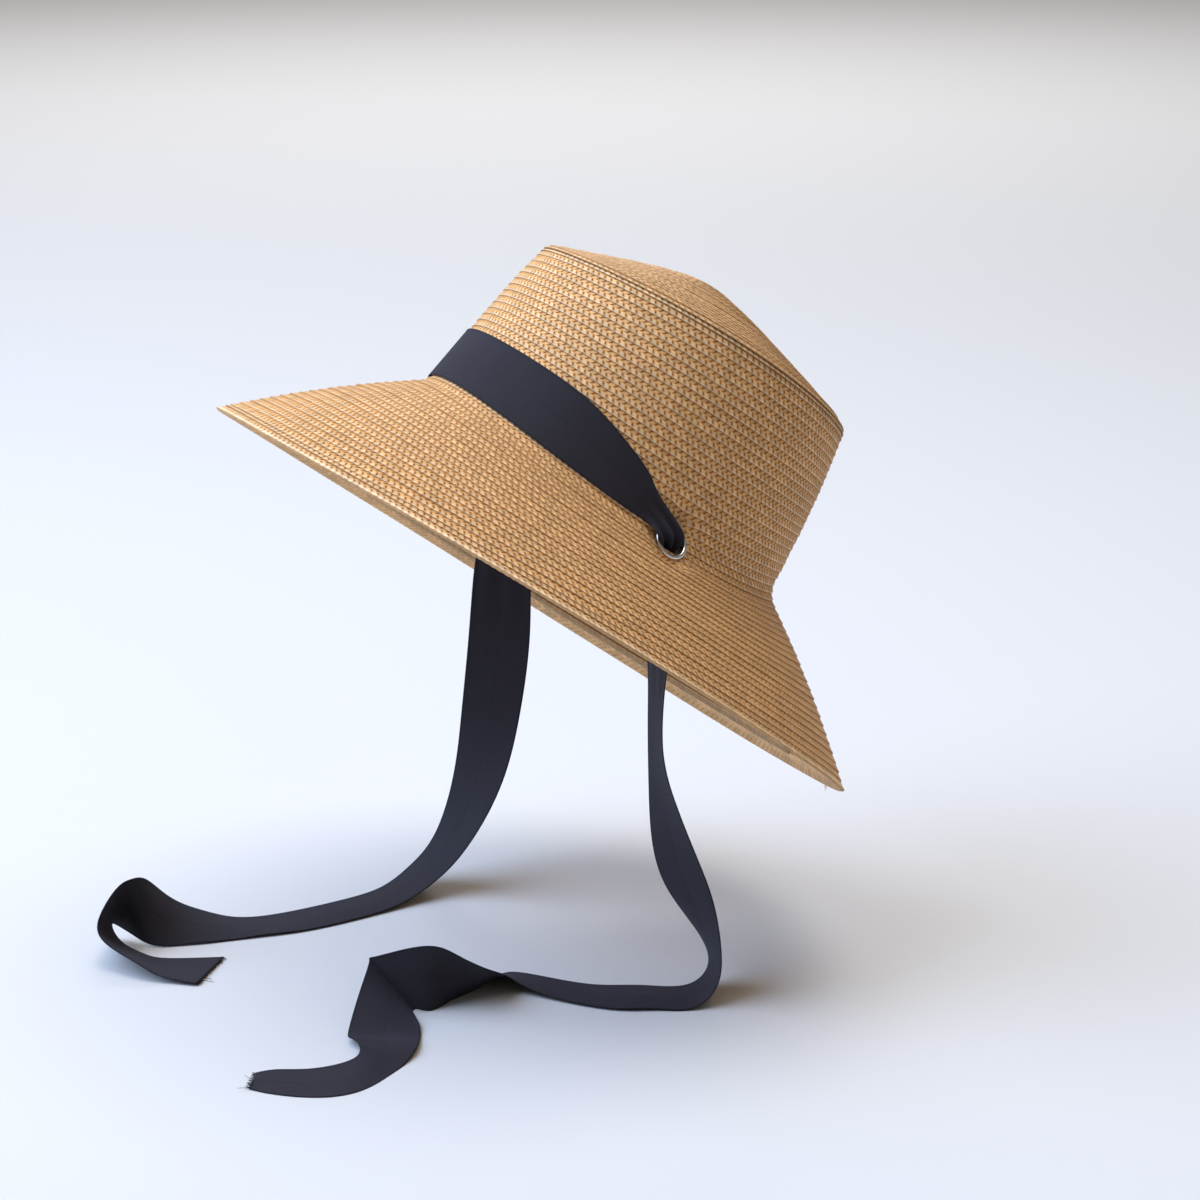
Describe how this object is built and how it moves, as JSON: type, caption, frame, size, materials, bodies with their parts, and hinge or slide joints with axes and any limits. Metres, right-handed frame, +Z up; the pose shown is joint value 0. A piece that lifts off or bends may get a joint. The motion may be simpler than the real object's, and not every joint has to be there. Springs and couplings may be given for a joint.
{
  "type": "straw sun hat",
  "caption": "Wide-brimmed straw sun hat sewn from a spiral of braid, with a tapered crown and a ribbon across its front that passes through side eyelets and hangs as two chin ties.",
  "frame": {"origin": "centre of the head opening, level with the mean height of the seam between crown and brim", "axes": "+Z is up against gravity, +X towards the wearer's left, -Y towards the front; the hat is tipped back 35 degrees about X, so its crown points along (0, 0.574, 0.819)"},
  "size_m": [0.347, 0.3709, 0.3457],
  "materials": {
    "straw_braid": "spiral-sewn straw braid, matt with a faint sheen",
    "sweatband": "plain woven tape",
    "eyelet_metal": "bright nickel plate",
    "ribbon": "fine matt twill"
  },
  "bodies": {
    "root": {"crown_tip": "straw_braid", "crown_wall": "straw_braid", "brim": "straw_braid", "brim_edge_braid": "straw_braid", "sweatband": "sweatband", "eyelet_left": "eyelet_metal", "eyelet_right": "eyelet_metal", "eyelet_washer_left": "eyelet_metal", "eyelet_washer_right": "eyelet_metal", "ribbon_band": "ribbon", "ribbon_tie_left": "ribbon", "ribbon_tie_right": "ribbon"}
  },
  "joints": []
}
